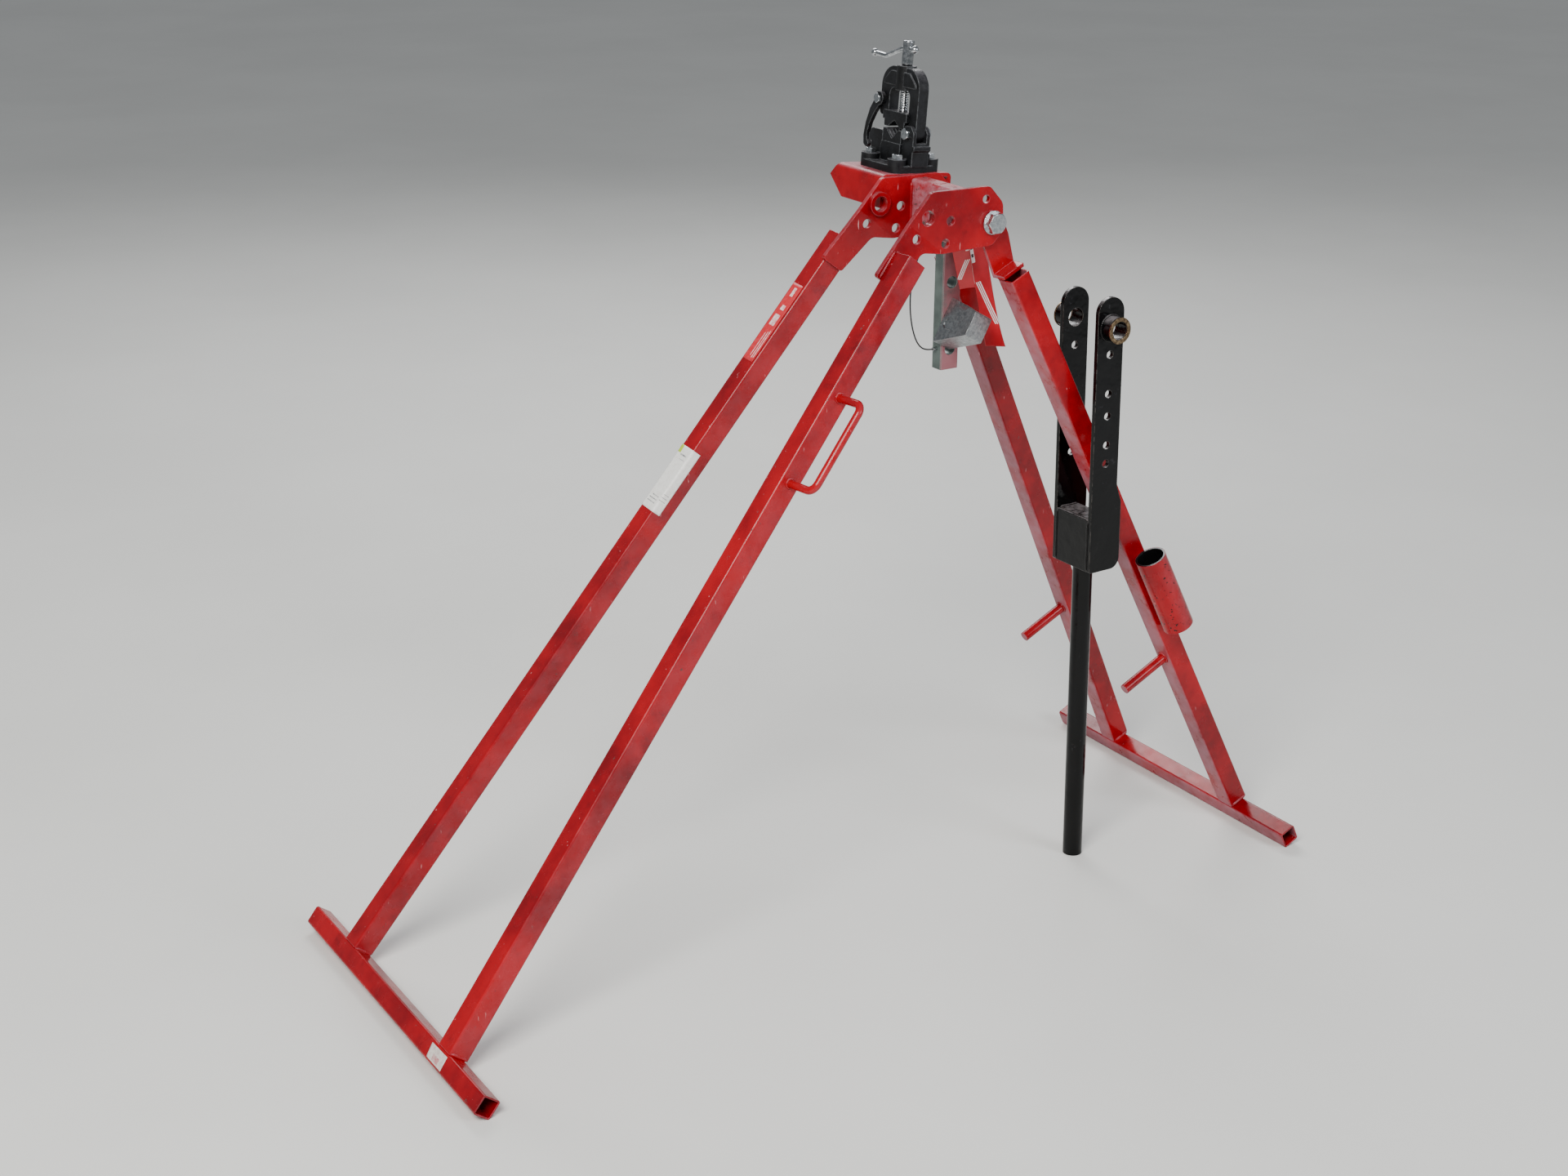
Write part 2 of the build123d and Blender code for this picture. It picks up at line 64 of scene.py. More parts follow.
def finish_base(name):
    """An empty material with its shader, its output and its object coordinates."""
    material = bpy.data.materials.new(name)
    material.use_nodes = True
    tree = material.node_tree
    tree.nodes.clear()
    shader = node(tree, "ShaderNodeBsdfPrincipled")
    out = node(tree, "ShaderNodeOutputMaterial")
    tree.links.new(shader.outputs[0], out.inputs[0])
    coords = node(tree, "ShaderNodeTexCoord").outputs["Object"]
    return material, tree, shader, coords


def patches(tree, coords, size_mm, low, high, detail=5.0, rough=0.6, seed=0.0):
    """Noise of features about size_mm across, cut to a 0-1 mask between low and high."""
    noise = node(
        tree,
        "ShaderNodeTexNoise",
        {"Vector": coords, "Scale": 1000.0 / size_mm, "Detail": detail, "Roughness": rough, "W": seed},
        noise_dimensions="4D",
    )
    return node(
        tree,
        "ShaderNodeMapRange",
        {"Value": noise.outputs["Fac"], "From Min": low, "From Max": high},
        interpolation_type="SMOOTHSTEP",
    ).outputs["Result"]


def facing(tree, direction, low, high):
    """0-1 mask of how far a face's normal turns to a direction, between two cosines."""
    normal = node(tree, "ShaderNodeNewGeometry").outputs["Normal"]
    dot = node(tree, "ShaderNodeVectorMath", {0: normal, 1: direction}, operation="DOT_PRODUCT")
    return node(
        tree,
        "ShaderNodeMapRange",
        {"Value": dot.outputs["Value"], "From Min": low, "From Max": high},
        interpolation_type="SMOOTHSTEP",
    ).outputs["Result"]


def times(tree, a, b):
    return node(tree, "ShaderNodeMath", {0: a, 1: b}, operation="MULTIPLY").outputs[0]


def over(tree, mask, below, above):
    """Colour above laid over colour below by a mask."""
    mix = node(tree, "ShaderNodeMix", {"Factor": mask}, data_type="RGBA")
    for index, value in ((6, below), (7, above)):
        if isinstance(value, bpy.types.NodeSocket):
            tree.links.new(value, mix.inputs[index])
        else:
            mix.inputs[index].default_value = value
    return mix.outputs[2]


def between(tree, mask, low, high):
    return node(tree, "ShaderNodeMapRange", {"Value": mask, "To Min": low, "To Max": high}).outputs["Result"]


def edge_wear_and_highlight(tree, radius_mm, low=0.90, high=0.995):
    """1 on a solid's corners, 0 on its flats: how far a rounded normal leaves the true one."""
    round_normal = node(tree, "ShaderNodeBevel", {"Radius": radius_mm / 1000.0}, samples=6).outputs[0]
    true_normal = node(tree, "ShaderNodeNewGeometry").outputs["Normal"]
    dot = node(tree, "ShaderNodeVectorMath", {0: round_normal, 1: true_normal}, operation="DOT_PRODUCT")
    edge = node(
        tree,
        "ShaderNodeMapRange",
        {"Value": dot.outputs["Value"], "From Min": low, "From Max": high, "To Min": 1.0, "To Max": 0.0},
    ).outputs["Result"]
    return edge, round_normal


def relief(tree, coords, normal, layers):
    """Bump layers of (feature mm, height mm, strength), laid on a normal one after another."""
    for size_mm, height_mm, strength in layers:
        noise = node(
            tree,
            "ShaderNodeTexNoise",
            {"Vector": coords, "Scale": 1000.0 / size_mm, "Detail": 3.0, "Roughness": 0.55},
        ).outputs["Fac"]
        normal = node(
            tree,
            "ShaderNodeBump",
            {"Height": noise, "Distance": height_mm / 1000.0, "Strength": strength, "Normal": normal},
        ).outputs[0]
    return normal


def red_enamel(name, dust_direction, dust_amount, dust_size=18.0, chips=0.63):
    material, tree, shader, coords = finish_base(name)
    tone = patches(tree, coords, 120.0, 0.35, 0.68, 4.0)
    colour = over(tree, tone, linear("72000C"), linear("A40011"))
    fade = patches(tree, coords, 14.0, 0.45, 0.75, 6.0, seed=3.0)
    colour = over(tree, times(tree, fade, 0.3), colour, linear("A50716"))
    edge, round_normal = edge_wear_and_highlight(tree, 1.6)
    # Pale pink laid on the corners is partly rubbed paint and partly painted highlight.
    pale_edge = times(tree, edge, patches(tree, coords, 9.0, 0.36, 0.58, 7.0, seed=7.0))
    colour = over(tree, times(tree, pale_edge, 0.5), colour, linear("CC4A5C"))
    grime = patches(tree, coords, 34.0, 0.52, 0.74, 8.0, 0.7, seed=11.0)
    colour = over(tree, times(tree, grime, 0.5), colour, linear("3A0208"))
    lying = patches(tree, coords, dust_size, 0.30, 0.62, 8.0, 0.68, seed=5.0)
    dust = times(tree, facing(tree, dust_direction, 0.35, 0.92), lying)
    dust = times(tree, dust, dust_amount)
    colour = over(tree, dust, colour, linear("A87C88"))
    chip = patches(tree, coords, 11.0, chips, chips + 0.03, 9.0, 0.75, seed=17.0)
    edge_chip = times(tree, edge, patches(tree, coords, 5.0, 0.56, 0.60, 8.0, 0.7, seed=23.0))
    chip = node(tree, "ShaderNodeMath", {0: chip, 1: edge_chip}, operation="MAXIMUM").outputs[0]
    colour = over(tree, chip, colour, linear("4A3B39"))
    streak_map = node(tree, "ShaderNodeMapping", {"Vector": coords, "Scale": (1.0, 1.0, 0.12)}).outputs[0]
    scratch = patches(tree, streak_map, 3.0, 0.70, 0.74, 4.0, 0.5, seed=31.0)
    colour = over(tree, times(tree, scratch, 0.5), colour, linear("F0B9BC"))
    tree.links.new(colour, shader.inputs["Base Color"])
    rough = between(tree, patches(tree, coords, 20.0, 0.3, 0.7), 0.14, 0.30)
    rough = node(tree, "ShaderNodeMath", {0: rough, 1: times(tree, dust, 0.55)}, operation="ADD").outputs[0]
    worn = {0: rough, 1: times(tree, chip, 0.35)}
    rough = node(tree, "ShaderNodeMath", worn, operation="ADD", use_clamp=True).outputs[0]
    tree.links.new(rough, shader.inputs["Roughness"])
    shader.inputs["IOR"].default_value = 1.5
    shader.inputs["Specular IOR Level"].default_value = 0.32
    normal = relief(tree, coords, round_normal, [(40.0, 0.25, 0.35), (2.2, 0.05, 0.35)])
    sunk = {"Height": chip, "Distance": 0.00025, "Strength": 0.5, "Normal": normal}
    normal = node(tree, "ShaderNodeBump", sunk, invert=True).outputs[0]
    tree.links.new(normal, shader.inputs["Normal"])
    return material


def dress(material, *names):
    """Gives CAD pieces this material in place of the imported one."""
    for name in names:
        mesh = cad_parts[name].data
        mesh.materials.clear()
        mesh.materials.append(material)


front_enamel = red_enamel("gloss_red_enamel_front", (0.0, -1.0, 0.2), 0.07, 32.0)
dress(front_enamel, "front_leg_near", "front_leg_far", "carry_handle", "front_foot_bar")


# Legs: each pair has its own frame, up the tube and out of its rear face, splayed to the middle. Welds, labels
# and the handle's feet sit on it. The same rule gives the front and the rear pair, leaning opposite ways.
MIDDLE = 621.583  # the part's middle, behind the front foot bar's floor line
BAR_FLAT, BAR_CORNER, BAR_HALF = 9.5, 3.0, 12.5  # a foot bar's half flat, corner radius and half width


def place(points):
    """Stand millimetres to the frame's metres: x less the middle, all over 1000."""
    points = np.asarray(points, float).reshape(-1, 3)
    return (points - np.array([MIDDLE, 0.0, 0.0])) / 1000.0


class LegFrame:
    """up = (lean sin t, 0, cos t), out = (cos t, 0, -lean sin t); legs close by slope a millimetre."""

    def __init__(self, bar_x, tilt, lean, offset, foot_half, slope):
        t = math.radians(tilt)
        height = BAR_FLAT * (abs(math.cos(t)) + abs(math.sin(t))) + BAR_CORNER
        self.up = np.array([lean * math.sin(t), 0.0, math.cos(t)])
        self.out = np.array([math.cos(t), 0.0, -lean * math.sin(t)])
        self.bar = np.array([bar_x, 0.0, height])
        self.n = self.bar @ self.out + offset
        self.foot_half, self.slope = foot_half, slope
        self.foot = self.bar @ self.up + BAR_HALF

    def at(self, side, s, a=0.0, b=0.0):
        """Stand millimetres of station s up the tube, a out of its rear face and b outward from the middle."""
        along = self.up - np.array([0.0, side * self.slope, 0.0])
        along = along / np.linalg.norm(along)
        across = np.cross(along, self.out) * side
        half = self.foot_half - self.slope * s
        centre = self.up * s + self.out * self.n + np.array([0.0, side * half, 0.0])
        return centre + self.out * a + across * b


front_legs = LegFrame(-2.0, 38.56, 1, 2.5, 144.7, 0.0643)
rear_legs = LegFrame(1245.8, 26.18, -1, 4.1, 94.3, 0.0693)


# Weld beads: MIG fillets laid where tube meets tube and plate, painted over with the frame. Each is a ripple
# of overlapping puddles, thicker in places, with its ends run out.
PUDDLE, SWELL = 2.4, 7.0  # millimetres between puddles, and the slower swell's


def around(count):
    """Angles evenly round a turn."""
    return np.linspace(0.0, 2.0 * math.pi, count, endpoint=False)


def bead(points, radius, seed=0.0, closed=False):
    """Tube along a polyline, run out to its ends where it isn't closed:
    r(u) = radius (0.86 + 0.2 |sin(pi u / PUDDLE + seed)| + 0.1 sin(u / SWELL + seed))."""
    p = np.asarray(points, float)
    if closed:
        p = np.vstack([p, p[:1]])
    seg = np.linalg.norm(np.diff(p, axis=0), axis=1)
    s = np.concatenate([[0.0], np.cumsum(seg)])
    count = max(8, int(s[-1] / 0.6))
    u = np.linspace(0.0, s[-1], count)
    line = np.stack([np.interp(u, s, p[:, k]) for k in range(3)], axis=1)
    tangent = np.gradient(line, axis=0)
    tangent /= np.linalg.norm(tangent, axis=1)[:, None]
    side = np.cross(tangent, np.array([0.31, 0.67, 0.11]))
    side /= np.linalg.norm(side, axis=1)[:, None]
    other = np.cross(tangent, side)
    r = radius * (0.86 + 0.2 * np.abs(np.sin(math.pi * u / PUDDLE + seed)) + 0.1 * np.sin(u / SWELL + seed))
    if not closed:
        r *= np.clip(np.minimum(u, s[-1] - u) / (1.4 * radius), 0.15, 1.0) ** 0.5
    a = around(8)
    ring = side[:, None, :] * np.cos(a)[None, :, None] + other[:, None, :] * np.sin(a)[None, :, None]
    return line[:, None, :] + ring * r[:, None, None]


def grid_faces(rows, columns, wrap_columns=False, start=0):
    """Quads between neighbouring points of a rows by columns grid, round the columns where they wrap."""
    i = np.arange(rows - 1)[:, None]
    j = np.arange(columns if wrap_columns else columns - 1)[None, :]
    k = (j + 1) % columns
    here, above = i * columns, (i + 1) * columns
    quads = np.stack([here + j, here + k, above + k, above + j], axis=-1)
    return (quads.reshape(-1, 4) + start).tolist()


def outward(piece):
    """Turns every shell's faces outward."""
    work = bmesh.new()
    work.from_mesh(piece.data)
    bmesh.ops.recalc_face_normals(work, faces=work.faces[:])
    work.to_mesh(piece.data)
    work.free()


def surface(name, grids, material, body):
    """One smooth mesh from tubes of points in stand millimetres, their ends closed, riding a body."""
    points, faces, start = [], [], 0
    for grid in grids:
        rows, columns = grid.shape[:2]
        points.append(grid.reshape(-1, 3))
        faces += grid_faces(rows, columns, True, start)
        faces.append([start + c for c in range(columns)][::-1])
        faces.append([start + (rows - 1) * columns + c for c in range(columns)])
        start += rows * columns
    mesh = bpy.data.meshes.new(name)
    mesh.from_pydata(place(np.concatenate(points)).tolist(), [], faces)
    mesh.validate()
    mesh.polygons.foreach_set("use_smooth", [True] * len(mesh.polygons))
    mesh.materials.append(material)
    piece = bpy.data.objects.new(name, mesh)
    bpy.context.scene.collection.objects.link(piece)
    outward(piece)
    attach(piece, body)
    return piece


def foot_beads(legs, side):
    """Fillets down both sides of a leg's foot, where it stands on its bar."""
    s, reach = legs.foot + 0.6, 15.4
    inner, outer = ([legs.at(side, s, a, b) for a in (-13.0, 12.0)] for b in (-reach, reach))
    return [bead(inner, 2.2, 1.0), bead(outer, 2.2, 2.0)]


weld_enamel = red_enamel("gloss_red_enamel_on_weld", (0.0, 0.0, 1.0), 0.45, 8.0, 0.60)
front_beads = foot_beads(front_legs, -1) + foot_beads(front_legs, 1)
for leg_side in (-1, 1):
    top_run = [front_legs.at(leg_side, 1111.0, a, -15.2) for a in (-13.0, 13.0)]
    front_run = [front_legs.at(leg_side, s, -15.6, -14.6) for s in (1072.0, 1110.0)]
    rear_run = [front_legs.at(leg_side, s, 15.6, -14.6) for s in (1076.0, 1110.0)]
    front_beads += [bead(run, 1.9, 3.0) for run in (top_run, front_run, rear_run)]
for foot_s in (799.7, 918.6):  # the carry handle's feet
    circle = [(5.4 * math.cos(t), 5.4 * math.sin(t)) for t in around(24)]
    ring = [front_legs.at(-1, foot_s + up, a, 15.4) for up, a in circle]
    front_beads.append(bead(ring, 1.7, 2.0, closed=True))
for face_y in (-49.6, 49.6):
    front_beads.append(bead([(771.6, face_y, z) for z in (880.0, 939.0)], 2.3, 0.7))
    front_beads.append(bead([(797.2, face_y, z) for z in (916.0, 939.0)], 1.9, 0.4))
front_beads.append(bead([(740.0, 56.6, 945.8), (826.0, 56.6, 940.4)], 1.8, 4.0))
surface("front_frame_welds", front_beads, weld_enamel, "front_frame")

rear_beads = foot_beads(rear_legs, -1) + foot_beads(rear_legs, 1)
for leg_side in (-1, 1):
    seat = [rear_legs.at(leg_side, 377.6, a, -14.9) for a in (-14.0, 14.0)]
    edge_run = [rear_legs.at(leg_side, 377.8, -14.6, b) for b in (-14.0, 1.0)]
    back_run = [rear_legs.at(leg_side, 377.8, 14.6, b) for b in (-14.0, 1.0)]
    rear_beads += [bead(run, 1.9, 5.0) for run in (seat, edge_run, back_run)]
    circle = [(7.5 * math.cos(t), 7.5 * math.sin(t)) for t in around(28)]
    peg_ring = [rear_legs.at(leg_side, -244.6 + up, -15.3, b) for up, b in circle]
    rear_beads.append(bead(peg_ring, 1.8, 1.0, closed=True))
for offset in (-3.6, 15.6):  # two runs down each side of the lever cup
    for run in ((-182.0, -140.0), (-116.0, -76.0)):
        rear_beads.append(bead([rear_legs.at(-1, s, offset, 17.0) for s in run], 2.4, offset))
surface("rear_frame_welds", rear_beads, weld_enamel, "rear_frame")


# Cheek plates, boss rings and spacer: flame-cut 6 mm plate and a box section, brushed with the same enamel.
# The spacer's front face and the bracket's top hold the thickest dust.
cheek_enamel = red_enamel("gloss_red_enamel_cheeks", (0.0, 0.0, 1.0), 0.3, 20.0, 0.66)
dress(cheek_enamel, "cheek_plate_near", "cheek_plate_far", "cheek_boss_rings")
spacer_enamel = red_enamel("dusty_red_enamel_spacer", (-0.75, 0.0, 0.65), 0.75, 9.0, 0.58)
dress(spacer_enamel, "cheek_spacer")
bracket_enamel = red_enamel("dusty_red_enamel_bracket", (0.0, 0.0, 1.0), 0.55, 30.0, 0.66)
dress(bracket_enamel, "vice_bracket")


# Rear frame: the same tube and enamel. Its front faces look down and forward and have caught a grey-pink
# bloom that is rubbed away in patches.
rear_enamel = red_enamel("gloss_red_enamel_rear", (-0.897, 0.0, -0.441), 0.6, 30.0, 0.66)
dress(rear_enamel, "rear_leg_near", "rear_leg_far", "rear_lug_near", "rear_lug_far")
dress(rear_enamel, "storage_pegs", "rear_foot_bar")


# Lever cup: 42 mm tube welded beside the near rear leg, red outside. Its bore and mouth are bare steel gone
# black with old grease.
def greasy_bore(material, start, along, radius_mm):
    """Lays black over the enamel where |(p - start) x along| is under the radius."""
    tree = material.node_tree
    shader = next(n for n in tree.nodes if n.bl_idname == "ShaderNodeBsdfPrincipled")
    coords = node(tree, "ShaderNodeTexCoord").outputs["Object"]
    arm = node(tree, "ShaderNodeVectorMath", {0: coords, 1: tuple(start)}, operation="SUBTRACT").outputs[0]
    turn = node(tree, "ShaderNodeVectorMath", {0: arm, 1: tuple(along)}, operation="CROSS_PRODUCT").outputs[0]
    reach = node(tree, "ShaderNodeVectorMath", {0: turn}, operation="LENGTH").outputs["Value"]
    ragged = between(tree, patches(tree, coords, 6.0, 0.3, 0.7), -0.0005, 0.0005)
    reach = node(tree, "ShaderNodeMath", {0: reach, 1: ragged}, operation="ADD").outputs[0]
    inside = node(tree, "ShaderNodeMath", {0: reach, 1: radius_mm / 1000.0}, operation="LESS_THAN").outputs[0]
    enamel = shader.inputs["Base Color"].links[0].from_socket
    tree.links.new(over(tree, inside, enamel, linear("0B0B0C")), shader.inputs["Base Color"])


cup_enamel = red_enamel("red_enamel_cup_with_greasy_bore", (0.0, -0.6, 0.8), 0.15, 26.0, 0.66)
cup_foot, cup_head = (rear_legs.at(-1, station, 6.0, 36.2) for station in (-188.1, -70.1))
cup_line = place(cup_head)[0] - place(cup_foot)[0]
greasy_bore(cup_enamel, place(cup_foot)[0], cup_line / np.linalg.norm(cup_line), 20.8)
dress(cup_enamel, "lever_cup")


# Zinc-plated bolts, washers and nuts: cold-formed steel, bright blue-white plating with a soft brushed look
# and darker dirt in patches.
def plated_metal(name, light, dark, rough_low, rough_high, dirt=0.35):
    material, tree, shader, coords = finish_base(name)
    tone = patches(tree, coords, 4.0, 0.35, 0.7, 5.0)
    colour = over(tree, tone, linear(dark), linear(light))
    stain = patches(tree, coords, 7.0, 0.52, 0.72, 8.0, 0.7, seed=9.0)
    colour = over(tree, times(tree, stain, dirt), colour, linear("4B4540"))
    tree.links.new(colour, shader.inputs["Base Color"])
    shader.inputs["Metallic"].default_value = 1.0
    tree.links.new(between(tree, stain, rough_low, rough_high), shader.inputs["Roughness"])
    round_normal = edge_wear_and_highlight(tree, 0.6)[1]
    tree.links.new(relief(tree, coords, round_normal, [(1.6, 0.05, 0.35)]), shader.inputs["Normal"])
    return material


zinc = plated_metal("bright_zinc_plate", "D9DCDE", "AEB3B7", 0.22, 0.5)
dress(zinc, "pivot_bolt", "pivot_washers", "pivot_nut", "pivot_sleeve")
dress(zinc, "vice_base_bolts", "vice_hinge_pin", "vice_latch_pin")


# Pipe vice castings: grey iron, sand cast, dipped in thin black paint. The sand grain shows through it,
# corners are rubbed to a dull grey sheen, and ledges hold pale dust.
def cast_iron_black(name):
    material, tree, shader, coords = finish_base(name)
    tone = patches(tree, coords, 15.0, 0.3, 0.7, 6.0)
    colour = over(tree, tone, linear("060607"), linear("17181B"))
    edge, round_normal = edge_wear_and_highlight(tree, 1.8, 0.86, 0.99)
    pale_edge = times(tree, edge, patches(tree, coords, 5.0, 0.30, 0.60, 7.0, seed=2.0))
    colour = over(tree, times(tree, pale_edge, 0.7), colour, linear("6F7276"))
    lying = patches(tree, coords, 8.0, 0.34, 0.62, 8.0, 0.7, seed=4.0)
    dust = times(tree, facing(tree, (0.0, 0.0, 1.0), 0.3, 0.95), lying)
    colour = over(tree, times(tree, dust, 0.5), colour, linear("6A686D"))
    tree.links.new(colour, shader.inputs["Base Color"])
    shader.inputs["IOR"].default_value = 1.5
    shader.inputs["Specular IOR Level"].default_value = 0.28
    rough = between(tree, patches(tree, coords, 6.0, 0.3, 0.7, seed=6.0), 0.34, 0.58)
    tree.links.new(rough, shader.inputs["Roughness"])
    grain = relief(tree, coords, round_normal, [(6.0, 0.5, 0.45), (1.5, 0.16, 0.6)])
    tree.links.new(grain, shader.inputs["Normal"])
    return material


casting = cast_iron_black("black_painted_sand_cast_iron")
dress(casting, "vice_base", "vice_yoke", "vice_latch", "vice_upper_jaw", "vice_lower_jaw")


# Vice screw: turned and rolled steel, 3 mm lead, bright where the hand and the nut have worked it. The thread
# runs from the jaw to the head, and the plain head is drilled for the bar.
VICE_TURN, VICE_SEAT = math.radians(4.0), (785.2, 98.0, 947.7)
LEAD = 3.0


def vice_point(x, y, z):
    """Vice millimetres to stand millimetres: turned about Y by VICE_TURN and set on the bracket."""
    c, s = math.cos(VICE_TURN), math.sin(VICE_TURN)
    return np.stack([VICE_SEAT[0] + x * c + z * s, VICE_SEAT[1] + y, VICE_SEAT[2] - x * s + z * c], axis=-1)


def threaded_screw():
    """r(t, z) = 5.5 - 0.65 (1 - cos(2 pi z / LEAD - t)) / 2 on the thread; 7.3 on the head, bevelled 1 mm."""
    turn = around(48)
    tip, thread = np.linspace(64.1, 72.3, 6), np.linspace(72.5, 129.4, 380)
    head = np.linspace(131.0, 158.9, 30)
    z = np.concatenate([[64.0], tip, thread, [129.5, 130.1], head, [159.95]])
    base = np.where(z < 72.4, 4.5, np.where(z < 129.45, 5.5, 7.3))
    base = np.where(z > 159.5, 6.3, np.where((z > 129.45) & (z < 130.5), 6.8, base))
    threaded = ((z > 73.0) & (z < 129.0)).astype(float)
    ripple = 0.65 * (1.0 - np.cos(2.0 * math.pi * z[:, None] / LEAD - turn[None, :])) / 2.0
    r = base[:, None] - threaded[:, None] * ripple
    heights = np.repeat(z[:, None], len(turn), axis=1)
    return vice_point(r * np.cos(turn)[None, :], r * np.sin(turn)[None, :], heights)


worked_steel = plated_metal("bright_worked_steel", "D2D4D6", "8E9296", 0.16, 0.42, 0.3)
screw = surface("vice_screw_threaded", [threaded_screw()], worked_steel, "screw")
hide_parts("vice_screw")
dress(worked_steel, "tommy_bar", "guide_pin", "lanyard_ferrules")


# Bending lever: plate and tube welded up and dipped in thick gloss black. The paint has run, so it mirrors in
# slow waves, with fine scratches, pale corners that are partly scuffed paint and partly painted highlight,
# dark grey patches of painted sheen, and a little dust.
def black_gloss(name):
    material, tree, shader, coords = finish_base(name)
    tone = patches(tree, coords, 60.0, 0.3, 0.7, 4.0)
    colour = over(tree, tone, linear("010101"), linear("050506"))
    edge, round_normal = edge_wear_and_highlight(tree, 1.4)
    # Pale grey on the corners is partly scuffed paint and partly painted highlight.
    pale_edge = times(tree, edge, patches(tree, coords, 6.0, 0.40, 0.60, 7.0, seed=2.0))
    colour = over(tree, times(tree, pale_edge, 0.6), colour, linear("6A6460"))
    # Dark grey patches laid on the black are painted sheen, standing in for reflections in the gloss; the same
    # patches are rougher.
    sheen_patch = patches(tree, coords, 16.0, 0.60, 0.66, 9.0, 0.75, seed=8.0)
    colour = over(tree, times(tree, sheen_patch, 0.25), colour, linear("46454A"))
    lying = patches(tree, coords, 9.0, 0.32, 0.6, 8.0, 0.7, seed=4.0)
    dust = times(tree, facing(tree, (0.0, 0.0, 1.0), 0.4, 0.95), lying)
    colour = over(tree, times(tree, dust, 0.6), colour, linear("8B8689"))
    tree.links.new(colour, shader.inputs["Base Color"])
    shader.inputs["IOR"].default_value = 1.52
    shader.inputs["Specular IOR Level"].default_value = 0.2
    rough = between(tree, patches(tree, coords, 25.0, 0.3, 0.7, seed=6.0), 0.07, 0.18)
    rough = node(tree, "ShaderNodeMath", {0: rough, 1: times(tree, sheen_patch, 0.3)}, operation="ADD").outputs[0]
    tree.links.new(rough, shader.inputs["Roughness"])
    runs = relief(tree, coords, round_normal, [(38.0, 1.6, 0.8), (3.0, 0.05, 0.3)])
    tree.links.new(runs, shader.inputs["Normal"])
    return material


lever_paint = black_gloss("dipped_gloss_black_paint")
dress(lever_paint, "lever_plate_near", "lever_plate_far", "lever_web", "lever_top_cap")
dress(lever_paint, "lever_bottom_cap", "lever_tube", "lever_bosses")
bronze = plated_metal("worn_bronze_bush", "A08A6C", "5A4836", 0.28, 0.5, 0.45)
dress(bronze, "lever_boss_rings")


# Lever welds: beads down the box's corners and round the bosses, under the same black.
LEVER_FOOT, LEVER_LEAN = np.array([975.0, -98.0, 0.32]), np.array([-12.0, 11.0, 803.0])
BOSS_HEIGHT = 763.0


def lever_point(x, y, z):
    """Lever millimetres to stand millimetres: z runs up LEVER_LEAN from its foot, x out to the rear."""
    along = LEVER_LEAN
    along = along / np.linalg.norm(along)
    out = np.array([1.0, 0.0, 0.0149])
    out = out - along * (out @ along)
    out = out / np.linalg.norm(out)
    across = np.cross(along, out)
    return LEVER_FOOT + out * x + across * y + along * z


lever_beads = []
for wall in (-31.6, 31.6):
    lever_beads.append(bead([lever_point(-20.8, wall, z) for z in (436.0, 504.0)], 1.7, wall))
    lever_beads.append(bead([lever_point(x, wall, 506.4) for x in (-15.0, 13.0)], 1.8, wall + 2.0))
lever_beads.append(bead([lever_point(-20.6, y, 505.8) for y in (-28.0, 28.0)], 1.6, 3.0))
round_tube = [lever_point(13.9 * math.cos(t), 13.9 * math.sin(t), 433.6) for t in around(40)]
lever_beads.append(bead(round_tube, 1.9, 1.0, closed=True))
for outer_y in (-38.3, 38.3):
    circle = [(17.0 * math.cos(t), 17.0 * math.sin(t)) for t in around(40)]
    boss_ring = [lever_point(x, outer_y, BOSS_HEIGHT + up) for x, up in circle]
    lever_beads.append(bead(boss_ring, 1.4, 2.0, closed=True))
surface("bending_lever_welds", lever_beads, lever_paint, "bending_lever")


# Back-stop bar and guide block: flat steel bar in thin grey-green primer, and a shoe of bare satin cast
# aluminium. The bar's near face carries pinkish red that is partly a painted reflection of the red tag and
# partly pinkish dust.
def grey_primer(name, light, dark, blush):
    material, tree, shader, coords = finish_base(name)
    tone = patches(tree, coords, 22.0, 0.3, 0.7, 6.0)
    colour = over(tree, tone, linear(dark), linear(light))
    edge, round_normal = edge_wear_and_highlight(tree, 1.1)
    colour = over(tree, times(tree, edge, 0.6), colour, linear("C9CCCB"))
    patchy = patches(tree, coords, 26.0, 0.28, 0.55, 7.0, 0.65, seed=3.0)
    # Pinkish red on the near face is partly a painted reflection of the red tag and partly pinkish dust.
    tag_reflection_and_dust = times(tree, facing(tree, (0.0, -1.0, 0.0), 0.5, 0.95), patchy)
    colour = over(tree, times(tree, tag_reflection_and_dust, blush), colour, linear("B36A74"))
    speck = patches(tree, coords, 3.0, 0.66, 0.70, 6.0, 0.7, seed=5.0)
    colour = over(tree, times(tree, speck, 0.5), colour, linear("3C3F3E"))
    tree.links.new(colour, shader.inputs["Base Color"])
    shader.inputs["Metallic"].default_value = 0.35
    tree.links.new(between(tree, tone, 0.34, 0.55), shader.inputs["Roughness"])
    grain = relief(tree, coords, round_normal, [(5.0, 0.12, 0.35), (1.6, 0.05, 0.35)])
    tree.links.new(grain, shader.inputs["Normal"])
    return material


dress(grey_primer("grey_green_primer_on_bar", "6C7A76", "4E5A57", 0.75), "backstop_bar")
shoe_metal = plated_metal("satin_cast_aluminium", "B4B7B8", "8A8E90", 0.32, 0.5, 0.3)
dress(shoe_metal, "guide_block")


# Lanyard: black plastic-coated wire rope, 2 mm, both ends crimped in ferrules on the bar. It is springy, so
# it stands out in a bow.
def coated_wire(name, hex_colour):
    material, tree, shader, coords = finish_base(name)
    shade = patches(tree, coords, 3.0, 0.3, 0.7)
    tree.links.new(over(tree, shade, linear(hex_colour), linear("2A2A2C")), shader.inputs["Base Color"])
    shader.inputs["Roughness"].default_value = 0.42
    true_normal = node(tree, "ShaderNodeNewGeometry").outputs["Normal"]
    tree.links.new(relief(tree, coords, true_normal, [(1.4, 0.08, 0.4)]), shader.inputs["Normal"])
    return material


